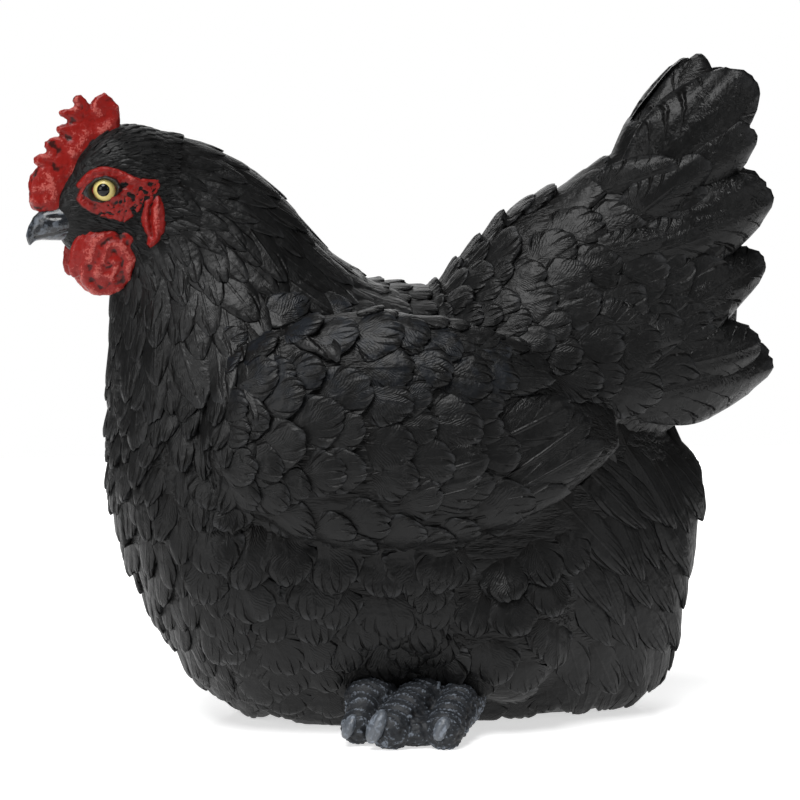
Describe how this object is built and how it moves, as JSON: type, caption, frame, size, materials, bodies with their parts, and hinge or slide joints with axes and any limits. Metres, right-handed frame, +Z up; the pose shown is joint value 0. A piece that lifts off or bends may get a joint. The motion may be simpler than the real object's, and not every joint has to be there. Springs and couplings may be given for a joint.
{
  "type": "hen figurine",
  "caption": "Life-size figurine of a sitting hen, cast in one piece with carved feathers, serrated comb, wattles and toes, on a flat base.",
  "frame": {"origin": "centre of the figurine's footprint, on the surface it rests on", "axes": "+Z up; the head looks towards -X and the tail points towards +X; the hen's left side is at -Y"},
  "size_m": [0.3778, 0.2128, 0.3314],
  "materials": {
    "plumage": "satin black painted cast resin, lightly dry-brushed with grey",
    "comb_red": "satin red paint, dry-brushed with pale pink",
    "horn": "glossy slate grey paint on the beak",
    "eye": "clear gloss over a pale yellow iris and a black pupil",
    "foot": "matt slate paint, dry-brushed with light blue-grey"
  },
  "bodies": {
    "root": {"hen": "plumage"}
  },
  "joints": []
}
